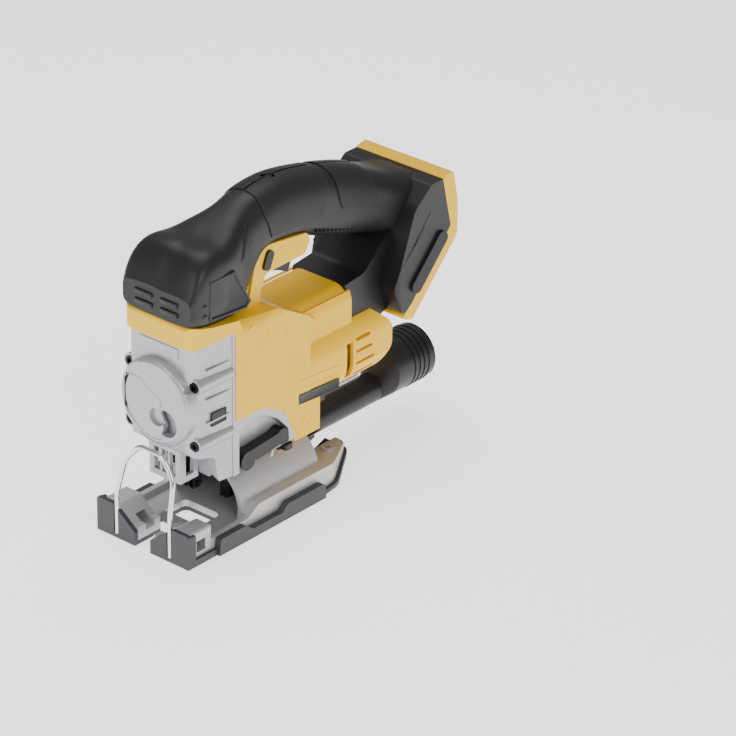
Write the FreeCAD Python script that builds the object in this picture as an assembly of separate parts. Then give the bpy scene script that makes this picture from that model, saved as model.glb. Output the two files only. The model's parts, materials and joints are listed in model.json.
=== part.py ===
"""Cordless top-handle jigsaw: shoe, gear head, clamshell housing, motor, crank drive and controls.

Frame: millimetres, +X is the cutting direction (the blade end is at +X, the battery end at -X),
+Y is the tool's left side, +Z is up.  The sole lies on Z = 0 and the origin is under the centre of
the whole tool's bounding box.
"""
import FreeCAD
import Part
import math
import os

V = FreeCAD.Vector

# ---------------------------------------------------------------- driving dimensions
# shoe
SHOE_FRONT = 129.0          # front face of the sole cover
SHOE_LENGTH = 165.0         # sole cover, front face to heel
SHOE_WIDTH = 78.0           # sole cover at the toes
COVER_FLOOR = 3.0           # plastic under the plate
COVER_WALL = 3.0            # front wall of the cover
CLIP_REACH = 2.2            # side clips stand this far outside the sole width
PLATE_FLOOR = 4.5           # cast floor of the plate
RIM_HEIGHT = 18.5           # top of the raised rim beside the bevel saddle
FRONT_RIM = 12.0            # top of the rim in front of the saddle
TOE_HEIGHT = 22.0           # top of the boxes at the toes
TOE_DEPTH = 20.0            # toe boxes, front to back
BLADE_SLOT = 13.0           # slot between the toes
MOUTH_WIDTH = 30.0          # wider opening round the roller
FENCE_SLOT = 8.0            # square slot for a rip-fence bar
# bevel saddle
BEVEL_Z = 12.0              # height of the bevel axis
BEVEL_ANGLE = 45.0
SADDLE_R = 29.0             # outside of the half-round saddle on the plate
SADDLE_WALL = 3.0
SADDLE_FRONT = 70.0
SADDLE_REAR = -2.5
RUN_GAP = 0.4               # clearance between parts that move on each other
# housing
BODY_HALF = 31.0            # half width of the clamshell
WALL = 2.6                  # moulded wall
GEAR_HALF = 30.0            # half width of the gear head
SPLIT_X = 76.5              # clamshell meets the gear case here
COVER_X = 79.0              # gear cover meets the gear case here
NOSE_X = 111.5              # front face of the gear cover
NOSE_R = 29.0               # round nose
NOSE_STEP = 5.5             # how far the nose stands forward
NOSE_Z = 98.0
HEAD_TOP = 141.0            # top of the gear head under the yellow cap
# drive
MOTOR_Z = 84.0              # armature axis
MOTOR_R = 20.0              # field can, outside
MOTOR_BORE = 15.2
FAN_R = 17.5
MODULE = 1.0
PINION_TEETH = 8
WHEEL_TEETH = 48
STROKE = 26.0               # blade stroke
PLUNGER_X = 98.0            # blade line
PLUNGER_R = 4.5
SLIDE_FIT = 0.05            # radial clearance of bushes and rods
BUSH_WALL = 2.5
BUSH_LENGTH = 9.0
LOWER_BUSH_Z = 66.0
SHAFT_R = 3.0
YOKE_HALF = 15.0            # half width of the plunger's yoke
ROLLER_X = 85.2
ROLLER_Z = 32.0
CLAMP_R = 5.0               # blade clamp under the plunger
ROLLER_R = 5.2
# handle and battery foot
GRIP_HALF = 18.5
FOOT_HALF = 36.5
FRAME_HALF = 16.5           # yellow frame round the trigger
LOCK_TRAVEL = 3.0
TRIGGER_TRAVEL = 6.0
# dust pipe
PIPE_R_FRONT = 8.0
PIPE_R_REAR = 10.0
PORT_R = 19.0
PORT_WALL = 2.2
PORT_LENGTH = 36.0
PIPE_REAR = -128.5
SCREW_HEAD = 2.4            # housing screws
SCREW_HOLE_R = 1.7
SCREW_SINK_R = 3.2
SCREW_SEAT_Y = -19.0        # head seats in the clamshell's bosses
GRIP_SEAT_Y = -9.2          # and in the grip's
WIRE_R = 1.6                # finger guard wire
KEY_AF = 4.0                # hex key, across flats

# ---------------------------------------------------------------- derived places
WHEEL_Z = MOTOR_Z + MODULE * (PINION_TEETH + WHEEL_TEETH) / 2
CRANK_R = STROKE / 2
TOE_X = SHOE_FRONT - COVER_WALL
HEEL_X = SHOE_FRONT - SHOE_LENGTH
SOLE_HALF = SHOE_WIDTH / 2
PLATE_HALF = SOLE_HALF - 2.5
DECK_Z = COVER_FLOOR + PLATE_FLOOR
UPPER_BUSH_Z = HEAD_TOP - BUSH_LENGTH
BIG = 400.0
SECTION_POINTS = 24

parts = {}


# ---------------------------------------------------------------- drawing helpers
def corner(before, here, after, radius):
    """Start, middle and end of the arc that rounds the corner `here`."""
    bx, bz = before[0] - here[0], before[1] - here[1]
    ax, az = after[0] - here[0], after[1] - here[1]
    lb, la = math.hypot(bx, bz), math.hypot(ax, az)
    bx, bz, ax, az = bx / lb, bz / lb, ax / la, az / la
    half = math.acos(max(-1.0, min(1.0, bx * ax + bz * az))) / 2
    reach = radius / math.tan(half)
    mx, mz = bx + ax, bz + az
    lm = math.hypot(mx, mz)
    depth = radius / math.sin(half) - radius
    start = (here[0] + bx * reach, here[1] + bz * reach)
    middle = (here[0] + mx / lm * depth, here[1] + mz / lm * depth)
    end = (here[0] + ax * reach, here[1] + az * reach)
    return start, middle, end


def outline(points, place):
    """Closed wire through (a, b) or (a, b, corner radius); place turns (a, b) into a vector."""
    edges = []
    first = last = None
    count = len(points)
    for i, point in enumerate(points):
        radius = point[2] if len(point) > 2 else 0.0
        if radius:
            start, middle, end = corner(points[i - 1], point, points[(i + 1) % count], radius)
        else:
            start = middle = end = (point[0], point[1])
        if last and math.dist(last, start) > 1e-6:
            edges.append(Part.makeLine(place(*last), place(*start)))
        if radius:
            edges.append(Part.Arc(place(*start), place(*middle), place(*end)).toShape())
        first = first or start
        last = end
    if math.dist(last, first) > 1e-6:
        edges.append(Part.makeLine(place(*last), place(*first)))
    return Part.Wire(edges)


def prism(points, place, run, shrink=0.0):
    face = Part.Face(outline(points, place))
    if shrink:
        face = face.makeOffset2D(-shrink)
    return face.extrude(run)


def prism_x(points, low, high, shrink=0.0):
    return prism(points, lambda y, z: V(low, y, z), V(high - low, 0, 0), shrink)


def prism_y(points, low=-BIG, high=BIG, shrink=0.0):
    return prism(points, lambda x, z: V(x, low, z), V(0, high - low, 0), shrink)


def prism_z(points, low, high, shrink=0.0):
    return prism(points, lambda x, y: V(x, y, low), V(0, 0, high - low), shrink)


def box(x0, x1, y0, y1, z0, z1):
    return Part.makeBox(x1 - x0, y1 - y0, z1 - z0, V(x0, y0, z0))


def rod_x(r, x0, x1, y=0.0, z=0.0):
    return Part.makeCylinder(r, x1 - x0, V(x0, y, z), V(1, 0, 0))


def rod_y(r, y0, y1, x, z):
    return Part.makeCylinder(r, y1 - y0, V(x, y0, z), V(0, 1, 0))


def rod_z(r, z0, z1, x, y=0.0):
    return Part.makeCylinder(r, z1 - z0, V(x, y, z0), V(0, 0, 1))


def join(shapes):
    whole = shapes[0].fuse(shapes[1:]) if len(shapes) > 1 else shapes[0]
    return whole.removeSplitter()


def cut(shape, tools):
    for tool in tools:
        shape = shape.cut(tool)
    return shape


def add(shape, others):
    for other in others:
        shape = shape.fuse(other)
    return shape


def mirror(shape):
    """The same shape on the other side of the centre plane."""
    return shape.mirror(V(0, 0, 0), V(0, 1, 0))


def both(points):
    """End-view outline: the given right-hand points (y, z[, r]) and their mirror image."""
    return list(points) + [(-p[0],) + tuple(p[1:]) for p in reversed(points)]


def section(x, low, high, half, squareness):
    """Closed smooth wire in the plane X = x between heights low and high."""
    middle, rise = (low + high) / 2, (high - low) / 2
    points = []
    for i in range(SECTION_POINTS):
        a = 2 * math.pi * i / SECTION_POINTS
        c, s = math.cos(a), math.sin(a)
        across = math.copysign(abs(s) ** (2 / squareness), s) * half
        up = math.copysign(abs(c) ** (2 / squareness), c) * rise
        points.append(V(x, across, middle + up))
    curve = Part.BSplineCurve()
    curve.interpolate(Points=points, PeriodicFlag=True)
    return Part.Wire(curve.toShape())


def hexagon(across_flats, x, y=0.0, z=0.0):
    r = across_flats / math.sqrt(3)
    return [(y + r * math.cos(math.pi / 3 * i), z + r * math.sin(math.pi / 3 * i)) for i in range(6)]


def keep(name, shape):
    parts[name] = shape


def plunger_space():
    """Room above the gear head for the top of the plunger."""
    return rod_z(PLUNGER_R + 0.8, HEAD_TOP - 1, HEAD_TOP + STROKE, PLUNGER_X)


def halves(name, shape):
    """Left and right half of a clamshell piece."""
    keep("left_" + name, shape.common(box(-BIG, BIG, 0, BIG, -BIG, BIG)))
    keep("right_" + name, shape.common(box(-BIG, BIG, -BIG, 0, -BIG, BIG)))


# ---------------------------------------------------------------- shoe
def sole_plan(half, front, rear):
    """Plan of the sole: straight sides, narrowing to the heel."""
    heel = half * 0.62
    side = [(front, half, 3.0), (rear + 26.0, half, 14.0), (rear, heel, 6.0)]
    return side + [(x, -y, r) for x, y, r in reversed(side)]


def heel_curve(lift):
    """Side outline of the space under a surface that rises towards the heel like a ski."""
    return [(HEEL_X + 42, lift), (HEEL_X + 22, lift + 3.0, 40.0), (HEEL_X - 5, lift + 12.5),
            (HEEL_X - 5, lift - 30), (HEEL_X + 42, lift - 30)]


def blade_openings():
    """Slot between the toes and the wider mouth behind it."""
    back = TOE_X - TOE_DEPTH
    slot = box(back - 1, SHOE_FRONT + 1, -BLADE_SLOT / 2, BLADE_SLOT / 2, -1, BIG)
    mouth = prism_z([(back, BLADE_SLOT / 2), (back - 6, MOUTH_WIDTH / 2, 2.0), (SADDLE_FRONT + 4, MOUTH_WIDTH / 2, 4.0),
                     (SADDLE_FRONT + 4, -MOUTH_WIDTH / 2, 4.0), (back - 6, -MOUTH_WIDTH / 2, 2.0),
                     (back, -BLADE_SLOT / 2)], -1, BIG)
    return slot.fuse(mouth)


def shoe_plate():
    plan = sole_plan(PLATE_HALF, TOE_X, HEEL_X + 1.5)
    rim_side = [(HEEL_X - 5, COVER_FLOOR), (HEEL_X - 5, RIM_HEIGHT), (SADDLE_FRONT - 8, RIM_HEIGHT, 6.0),
                (SADDLE_FRONT + 2, FRONT_RIM, 6.0), (TOE_X + 5, FRONT_RIM), (TOE_X + 5, COVER_FLOOR)]
    rim = prism_z(plan, COVER_FLOOR, RIM_HEIGHT).common(prism_y(rim_side))
    tray = box(SADDLE_FRONT + 0.5, TOE_X - TOE_DEPTH, -PLATE_HALF + 4.0, PLATE_HALF - 4.0, DECK_Z, BIG)
    toe_face = [(PLATE_HALF, COVER_FLOOR), (PLATE_HALF, TOE_HEIGHT, 1.5), (PLATE_HALF - 12, TOE_HEIGHT, 2.0),
                (BLADE_SLOT / 2, 9.0, 1.0), (BLADE_SLOT / 2, COVER_FLOOR)]
    toe = prism_x(toe_face, TOE_X - TOE_DEPTH, TOE_X)
    saddle = rod_x(SADDLE_R, SADDLE_REAR, SADDLE_FRONT, 0, BEVEL_Z)
    saddle = saddle.common(box(-BIG, BIG, -BIG, BIG, COVER_FLOOR, BIG))
    boss = rod_z(4.6, COVER_FLOOR, RIM_HEIGHT + 1.5, HEEL_X + 16, 21.0)
    plate = join([rim.cut(tray), toe, mirror(toe), saddle, boss, mirror(boss)])
    bore = rod_x(SADDLE_R - SADDLE_WALL, SADDLE_REAR - 1, SADDLE_FRONT + 1, 0, BEVEL_Z)
    bore = bore.common(box(-BIG, BIG, -BIG, BIG, DECK_Z, BIG))
    fence = box(TOE_X - 15, TOE_X - 15 + FENCE_SLOT, -BIG, BIG, DECK_Z, DECK_Z + FENCE_SLOT)
    window = box(TOE_X - 15, TOE_X + 1, PLATE_HALF - 13, PLATE_HALF - 4, DECK_Z, DECK_Z + FENCE_SLOT)
    tail = box(HEEL_X - 10, SADDLE_REAR, -14.5, 14.5, DECK_Z, BIG)
    groove = box(HEEL_X - 10, SADDLE_FRONT + 1, -RUNNER_HALF - SLIDE_FIT, RUNNER_HALF + SLIDE_FIT, DECK_Z - 1.5, DECK_Z)
    screw = rod_z(1.9, -BIG, BIG, HEEL_X + 16, 21.0)
    return cut(plate, [bore, blade_openings(), fence, window, mirror(window), tail, groove, screw,
                       mirror(screw), prism_y(heel_curve(COVER_FLOOR))]).removeSplitter()


RUNNER_HALF = 4.0


def sole_cover():
    floor = prism_z(sole_plan(SOLE_HALF, SHOE_FRONT, HEEL_X), 0, COVER_FLOOR + 18)
    above = prism_y([(SHOE_FRONT + 5, COVER_FLOOR), (HEEL_X + 42, COVER_FLOOR), (HEEL_X + 22, COVER_FLOOR + 3.0, 40.0),
                     (HEEL_X - 5, COVER_FLOOR + 12.5), (HEEL_X - 5, 60), (SHOE_FRONT + 5, 60)])
    floor = cut(floor, [prism_y(heel_curve(0)), above])
    wall_face = [(SOLE_HALF, 0.0), (SOLE_HALF, TOE_HEIGHT + 1.5, 1.5), (SOLE_HALF - 14, TOE_HEIGHT + 1.5, 1.0),
                 (BLADE_SLOT / 2, 9.5, 1.0), (BLADE_SLOT / 2, 0.0)]
    wall = prism_x(wall_face, TOE_X, SHOE_FRONT)
    side_wall = box(TOE_X - 4, SHOE_FRONT, PLATE_HALF, SOLE_HALF, 0, TOE_HEIGHT)
    clip_side = [(SHOE_FRONT - 26, 0.0), (SHOE_FRONT - 27, 11.5, 2.5), (SHOE_FRONT - 50, 11.5, 3.0),
                 (SHOE_FRONT - 57, 6.5, 3.0), (SHOE_FRONT - 84, 6.5, 3.0), (SHOE_FRONT - 89, 11.0, 3.0),
                 (SHOE_FRONT - 124, 11.0, 3.0), (SHOE_FRONT - 126, 0.0)]
    clip = prism_y(clip_side, PLATE_HALF, SOLE_HALF + CLIP_REACH)
    clip = clip.cut(box(HEEL_X - 5, HEEL_X + 40, -BIG, BIG, -1, 12))
    edge = box(HEEL_X + 45, TOE_X, PLATE_HALF, SOLE_HALF, 0, COVER_FLOOR + 1.5)
    cover = join([floor, wall, mirror(wall), side_wall, mirror(side_wall), clip, mirror(clip), edge, mirror(edge)])
    leg_y = guard_points()[0][0].y
    leg = box(TOE_X - 0.01, SHOE_FRONT + 1, leg_y - WIRE_R - 0.3, leg_y + WIRE_R + 0.3, COVER_FLOOR, BIG)
    screw = rod_z(1.9, -BIG, BIG, HEEL_X + 16, 21.0)
    track = box(HEEL_X - 10, HEEL_X + 50, -RUNNER_HALF - RUN_GAP, RUNNER_HALF + RUN_GAP, DECK_Z - 1.9, BIG)
    return cut(cover, [blade_openings(), leg, mirror(leg), screw, mirror(screw), track]).removeSplitter()


def guard_points():
    """Left half of the finger guard's bent centre line, as (point, bend radius)."""
    x = TOE_X + WIRE_R
    leg = SOLE_HALF - 16.5
    return [(V(x, leg, COVER_FLOOR), 0.0), (V(x, leg, 31.0), 14.0), (V(x - 5.5, leg - 2.0, 53.0), 14.0),
            (V(x - 7.5, 10.0, 66.0), 9.0)]


def bent_wire(bends):
    """Straight runs joined by tangent arcs through (point, radius) pairs."""
    edges = []
    last = bends[0][0]
    for (before, _), (here, radius), (after, _) in zip(bends, bends[1:], bends[2:]):
        back = (before - here).normalize()
        ahead = (after - here).normalize()
        half = back.getAngle(ahead) / 2
        reach = radius / math.tan(half)
        inward = (back + ahead).normalize()
        start, end = here + back * reach, here + ahead * reach
        middle = here + inward * (radius / math.sin(half) - radius)
        edges += [Part.makeLine(last, start), Part.Arc(start, middle, end).toShape()]
        last = end
    edges.append(Part.makeLine(last, bends[-1][0]))
    return Part.Wire(edges)


def wire_guard():
    bends = guard_points()
    bends += [(V(p.x, -p.y, p.z), r) for p, r in reversed(bends)]
    ring = Part.Wire(Part.makeCircle(WIRE_R, bends[0][0], V(0, 0, 1)))
    return bent_wire(bends).makePipeShell([ring], True, False)


def splinter_insert():
    """Flat insert that closes the mouth round the blade."""
    back = TOE_X - TOE_DEPTH
    wide = MOUTH_WIDTH / 2 - 0.05
    plate = box(PLUNGER_X - 8, back - 7, -wide, wide, COVER_FLOOR, COVER_FLOOR + 2.0)
    slit = box(PLUNGER_X - 4, back, -1.2, 1.2, 0, BIG)
    return plate.cut(slit)


# ---------------------------------------------------------------- dust pipe
def dust_pipe():
    front_z = BEVEL_Z + 15.0
    rear_z = BEVEL_Z + 17.5
    port_z = BEVEL_Z + 28.5
    port_x = PIPE_REAR + PORT_LENGTH
    neck_x = port_x + 7
    front_x = SADDLE_FRONT - 12
    bend_x = SADDLE_REAR - 4.0

    def ring(r, x, z):
        return Part.Wire(Part.makeCircle(r, V(x, 0, z), V(1, 0, 0)))

    def tube(shrink, extra):
        front = rod_x(PIPE_R_FRONT - shrink, bend_x, front_x + extra, 0, front_z)
        body = Part.makeLoft([ring(PIPE_R_FRONT - shrink, bend_x, front_z),
                              ring(PIPE_R_REAR - shrink, SADDLE_REAR - 20, rear_z)], True, True)
        back = rod_x(PIPE_R_REAR - shrink, neck_x, SADDLE_REAR - 20, 0, rear_z)
        flare = Part.makeLoft([ring(PIPE_R_REAR - shrink, neck_x, rear_z), ring(PORT_R - shrink, port_x, port_z)],
                              True, True)
        port = rod_x(PORT_R - shrink, PIPE_REAR - extra, port_x, 0, port_z)
        return join([front, body, back, flare, port])

    ribs = [rod_x(PORT_R + 0.5, PIPE_REAR + 5 + 4.5 * i, PIPE_REAR + 6.4 + 4.5 * i, 0, port_z) for i in range(4)]
    runner = box(5, front_x - 4, -RUNNER_HALF, RUNNER_HALF, DECK_Z - 1.5, front_z)
    outer = join([tube(0, 0), runner] + ribs)
    return outer.cut(tube(PORT_WALL, 1)).removeSplitter()


# ---------------------------------------------------------------- gear head
def swing_clearance(x0, x1):
    """Space the shoe's sides need when the head is tilted either way."""
    reach = SOLE_HALF + CLIP_REACH + 1.2
    rise = RIM_HEIGHT - BEVEL_Z + 1.2
    tip = math.degrees(math.atan2(rise, reach)) + BEVEL_ANGLE
    r = math.hypot(reach, rise)
    side = []
    steps = 8
    for i in range(steps + 1):
        a = math.radians(-20 + (tip + 20) * i / steps)
        side.append((r * math.cos(a), BEVEL_Z + r * math.sin(a)))
    wedge = side + [(0, BEVEL_Z + rise / math.cos(math.radians(BEVEL_ANGLE)))]
    wedge += [(-y, z) for y, z in reversed(side)]
    return prism_x(wedge, x0, x1)


def saddle_space():
    return rod_x(SADDLE_R, SADDLE_REAR - 30, COVER_X + 60, 0, BEVEL_Z)


def ear_places():
    side = GEAR_HALF - 3.0
    return [(side, 115.0), (side, 74.5), (-side, 115.0), (-side, 74.5)]


def lever_space(grow):
    """Part of the round nose that the blade-release lever fills, grown by a clearance."""
    r = NOSE_R - 5.0 + grow
    disc = rod_x(r, NOSE_X + 1.0 - grow, NOSE_X + NOSE_STEP + grow, 0, NOSE_Z)
    edge = [(-r - 5, NOSE_Z + 14.0 + grow), (-11.0, NOSE_Z + 13.5 + grow, 3.0), (-2.0, NOSE_Z + 7.0 + grow, 3.0),
            (7.0 + grow, NOSE_Z + 3.0, 4.0), (3.0 + grow, NOSE_Z - 6.0, 4.0), (8.0 + grow, NOSE_Z - 14.0, 3.0),
            (0.0, NOSE_Z - 40), (-r - 5, NOSE_Z - 40)]
    return disc.common(prism_x(edge, NOSE_X - 5, NOSE_X + 15))


def head_plan(front, half):
    return [(front, half - 2, 8.0), (COVER_X, half), (COVER_X, -half), (front, -half + 2, 8.0)]


def gear_cover():
    """Cast front cover with the round nose, screw ears and the plunger's bush seats."""
    side = [(NOSE_X, 70.0, 6.0), (NOSE_X, HEAD_TOP), (COVER_X, HEAD_TOP), (COVER_X, 41.0), (91.0, 43.0, 4.0), (94.0, 62.0, 5.0),
            (NOSE_X - 1, 66.0, 4.0)]
    shell = prism_z(head_plan(NOSE_X, GEAR_HALF), 0, HEAD_TOP).common(prism_y(side))
    nose = rod_x(NOSE_R, NOSE_X - 8, NOSE_X + NOSE_STEP, 0, NOSE_Z)
    front_edge = [e for e in nose.Edges if abs(e.CenterOfMass.x - NOSE_X - NOSE_STEP) < 0.1]
    nose = nose.makeFillet(2.5, front_edge)
    ears = []
    for y, z in ear_places():
        ears.append(rod_x(5.0, COVER_X, NOSE_X - 2, y, z))
    hollow = prism_z(head_plan(NOSE_X, GEAR_HALF), LOWER_BUSH_Z + 9, HEAD_TOP - 3, WALL)
    hollow = hollow.fuse(box(COVER_X - 1, COVER_X + 5, -GEAR_HALF + WALL, GEAR_HALF - WALL, LOWER_BUSH_Z + 9, HEAD_TOP - 3))
    seats = [rod_z(PLUNGER_R + BUSH_WALL + 2.5, UPPER_BUSH_Z, HEAD_TOP, PLUNGER_X),
             rod_z(PLUNGER_R + BUSH_WALL + 2.5, LOWER_BUSH_Z, LOWER_BUSH_Z + BUSH_LENGTH, PLUNGER_X)]
    bores = rod_z(PLUNGER_R + BUSH_WALL, 0, BIG, PLUNGER_X)
    cover = join([shell, nose] + ears)
    cover = cut(cover, [hollow])
    cover = join([cover] + [s.common(box(COVER_X, NOSE_X - 1, -30, 30, 0, BIG)) for s in seats])
    well = rod_x(9.0, NOSE_X - 0.5, NOSE_X + 20, 10.0, NOSE_Z - 11)
    cuts = [lever_space(RUN_GAP), well, bores, swing_clearance(COVER_X - 5, COVER_X + 60)]
    for y, z in ear_places():
        cuts.append(rod_x(1.7, COVER_X - 1, NOSE_X, y, z))
        cuts.append(rod_x(3.5, NOSE_X - 4.5, NOSE_X + 9, y, z))
    for y in (-GUIDE_Y, GUIDE_Y):
        cuts.append(rod_z(GUIDE_R, LOWER_BUSH_Z + 4, HEAD_TOP - 1, WEIGHT_X, y))
    # room for the roller, its arm and the blade clamp behind the guard bars
    cuts.append(prism_y([(COVER_X - 1, 0), (COVER_X - 1, LOWER_BUSH_Z), (NOSE_X - 3.5, LOWER_BUSH_Z), (NOSE_X - 3.5, 0)],
                        -13.0, 13.0))
    cuts.append(hinge_pin_space())
    cuts += lever_sweep()
    cuts.append(roller_pin())
    return cut(cover, cuts).removeSplitter()


WEIGHT_X = 91.7             # counterweight plate, middle
WEIGHT_HALF = 1.5
WEIGHT_HEIGHT = 17.0
GUIDE_Y = 19.0
GUIDE_R = 2.0


def lever_sweep():
    """Room the release lever's hinged edge takes while it swings open."""
    behind_pin = box(NOSE_X - 5, NOSE_X + 20, -BIG, PIN_Y - 2.4, -BIG, BIG)
    lever = lever_space(0.2).cut(behind_pin)
    swept = []
    for turn in range(-60, 0, 10):
        turned = lever.copy()
        turned.rotate(V(NOSE_X + 2.6, PIN_Y, 0), V(0, 0, 1), turn)
        swept.append(turned)
    return swept


def hinge_pin_space():
    """Bore for the release lever's upright pin, at the right edge of the round nose."""
    relief = rod_z(4.4, NOSE_Z - 10.5, NOSE_Z + 10.5, NOSE_X + 2.6, PIN_Y)
    return rod_z(PIN_R, NOSE_Z - 13, NOSE_Z + 13, NOSE_X + 2.6, PIN_Y).fuse(relief)


PIN_R = 1.2
PIN_Y = -21.5


def window_outline():
    return [(73.5, 36.5), (73.5, 75.5, 6.0), (52.0, 75.5, 14.0), (38.0, 67.0, 10.0), (28.0, 56.0, 5.0), (27.5, 47.2, 1.0),
            (43.0, 47.2, 2.0), (48.0, 36.5)]


def case_outline():
    """Side view of the rear casting: joint plate in front, low window block under the arch behind."""
    return [(COVER_X, 36.0), (COVER_X, HEAD_TOP), (SPLIT_X, HEAD_TOP), (SPLIT_X, 80.5), (51.0, 79.8, 16.0),
            (31.0, 68.5, 16.0), (21.3, 46.8), (21.3, 36.0)]


LEVER_HUB = (34.5, 53.0)
LEVER_TIP = (66.0, 47.0)
SLIDE_BLOCK = (20.0, 34.0)


def gear_case():
    end = both([(GEAR_HALF + 0.5, 36.0), (GEAR_HALF + 0.5, HEAD_TOP)])
    body = prism_y(case_outline()).common(prism_x(end, 0, COVER_X))
    window = prism_y(window_outline(), GEAR_HALF - 6.5, BIG)
    inside = prism_y([(SPLIT_X - WALL, 50.0), (SPLIT_X - WALL, 77.5), (52.0, 76.5, 14.0), (33.5, 66.5, 14.0), (27.0, 50.0)],
                     -GEAR_HALF + WALL + 2, GEAR_HALF - 9.5)
    arc = rod_y(23.0, GEAR_HALF - 3.0, BIG, 56.0, 48.0).cut(rod_y(18.5, 0, BIG, 56.0, 48.0))
    arc = arc.common(prism_y([(24, 56), (40, 56), (46, 70), (40, 78), (24, 78)]))
    cuts = [window, inside, arc, saddle_space(), swing_clearance(0, COVER_X + 1),
            rod_x(7.0, SPLIT_X - 12, COVER_X + 1, 0, MOTOR_Z),
            rod_x(SHAFT_R, COVER_X - 8, COVER_X + 1, 0, WHEEL_Z),
            rod_y(HUB_R + SLIDE_FIT, GEAR_HALF - 12, GEAR_HALF, *LEVER_HUB),
            right_lever_space(), blower_space(), bevel_pin(), rod_x(MOTOR_R, 0, 35.0, 0, MOTOR_Z),
            rod_x(FAN_R + 0.8, 35.0, 56.0, 0, MOTOR_Z), rod_y(4.8, -8.0, 8.0, *ARM_PIVOT)]
    for y, z in ear_places():
        cuts.append(rod_x(1.7, COVER_X - 12, COVER_X + 1, y, z))
    seat = join([rod_x(11.0, SPLIT_X - 8, SPLIT_X + 1, 0, MOTOR_Z), rod_x(7.0, SPLIT_X - 6, SPLIT_X + 1, 0, WHEEL_Z)])
    body = join([body, seat])
    cuts.append(rod_x(8.0, SPLIT_X - 9, SPLIT_X - 1, 0, MOTOR_Z))
    return cut(body, cuts).removeSplitter()


HUB_R = 4.0


def blower_space():
    """Pocket the dust-blower slide runs in."""
    x0, x1 = SLIDE_BLOCK
    return box(x0 - 4, x1 + 8, GEAR_HALF - 4.5, BIG, 41.9, 46.5)


def blower_slide():
    x0, x1 = SLIDE_BLOCK[0] + 6, SLIDE_BLOCK[1] - 1
    knob = prism_z([(x0, GEAR_HALF - 1.5), (x0, GEAR_HALF + 3.0, 1.5), (x1, GEAR_HALF + 3.0, 1.5), (x1, GEAR_HALF - 1.5)],
                   42.4, 46.1)
    foot = box(x0 - 1.5, x1 + 1.5, GEAR_HALF - 4.4, GEAR_HALF - 1.5, 42.2, 46.3)
    return join([knob, foot])


def orbit_lever():
    """Spoon-shaped lever that sets the orbital action."""
    hx, hz = LEVER_HUB
    tx, tz = LEVER_TIP
    y0, y1 = GEAR_HALF - 6.0, GEAR_HALF + 1.5
    lobe = rod_y(6.5, y0, y1, tx, tz + 1.5)
    neck = prism_y([(hx - 1, hz - 4.5), (hx + 1, hz + 4.0), (tx - 2, tz + 7.8), (tx - 8, tz - 1.0)], y0, y1)
    hub = rod_y(5.5, y0, y1, hx, hz)
    stem = rod_y(HUB_R, GEAR_HALF - 12, y0 + 0.01, hx, hz)
    return join([lobe, neck, hub, stem])


def right_lever_space():
    return box(30.0, 56.0, -BIG, -GEAR_HALF + 5.0, 46.0, 56.0)


def bevel_lever():
    """Clamp lever on the right side; it swings out on an upright pin at its rear end."""
    y0, y1 = -GEAR_HALF - 2.5, -GEAR_HALF + 4.4
    middle = (y0 + y1) / 2
    bar = prism_z([(34.5, y0), (34.5, y1), (55.4, y1), (55.4, y0, 2.0)], 46.6, 55.4)
    bar = bar.fuse(rod_z((y1 - y0) / 2, 46.6, 55.4, 34.5, middle))
    return bar.cut(rod_z(BEVEL_PIN_R + SLIDE_FIT, 40, 60, 34.5, middle)).removeSplitter()


BEVEL_PIN_R = 1.5
BEVEL_PIN_Y = -GEAR_HALF + 0.95


def bevel_pin():
    return rod_z(BEVEL_PIN_R, 44.0, 58.0, 34.5, BEVEL_PIN_Y)


# ---------------------------------------------------------------- clamshell
def body_blocks():
    """Overlapping blocks of the yellow clamshell as (side outline, end outline)."""
    barrel = [(40.0, 59.8), (40.0, 106.6), (-56.0, 106.6, 6.0), (-70.0, 94.0, 10.0), (-70.0, 78.0, 12.0),
              (-57.0, 59.8, 14.0)]
    barrel_end = both([(BODY_HALF, 59.8, 19.0), (BODY_HALF, 106.6, 17.0)])
    ridge = [(40.0, 80.0), (40.0, 129.4), (-37.8, 129.4, 4.0), (-37.8, 80.0)]
    ridge_end = both([(24.5, 80.0), (24.5, 129.4, 11.0)])
    column = [(SPLIT_X, 80.5), (SPLIT_X, 146.0), (54.0, 144.0), (36.0, 142.5, 6.0), (8.0, 127.0), (8.0, 59.8),
              (31.0, 68.5), (51.0, 79.8, 16.0)]
    column_end = both([(BODY_HALF, 50.0), (BODY_HALF, 146.0, 9.0)])
    tab = [(-2.6, 41.3), (-2.6, 66.0), (31.0, 68.5), (21.3, 46.8), (21.3, 41.3)]
    tab_end = both([(BODY_HALF - 1.5, 38.0), (BODY_HALF - 1.5, 70.0)])
    frame = [(52.0, 140.0), (52.0, 146.0), (48.5, 149.0), (44.5, 166.0), (41.0, 177.0, 4.0), (30.0, 179.4, 6.0),
             (-4.8, 175.1, 3.0), (-7.0, 168.6, 2.0), (-2.6, 161.5, 2.0), (33.5, 161.0, 5.0), (38.7, 150.0), (38.7, 140.0)]
    frame_end = both([(FRAME_HALF, 130.0), (FRAME_HALF, 182.0)])
    return {"barrel": (barrel, barrel_end), "ridge": (ridge, ridge_end), "column": (column, column_end),
            "tab": (tab, tab_end), "frame": (frame, frame_end)}


def two_view(side, end, shrink=0.0):
    return prism_y(side, shrink=shrink).common(prism_x(end, -BIG, BIG, shrink))


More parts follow.
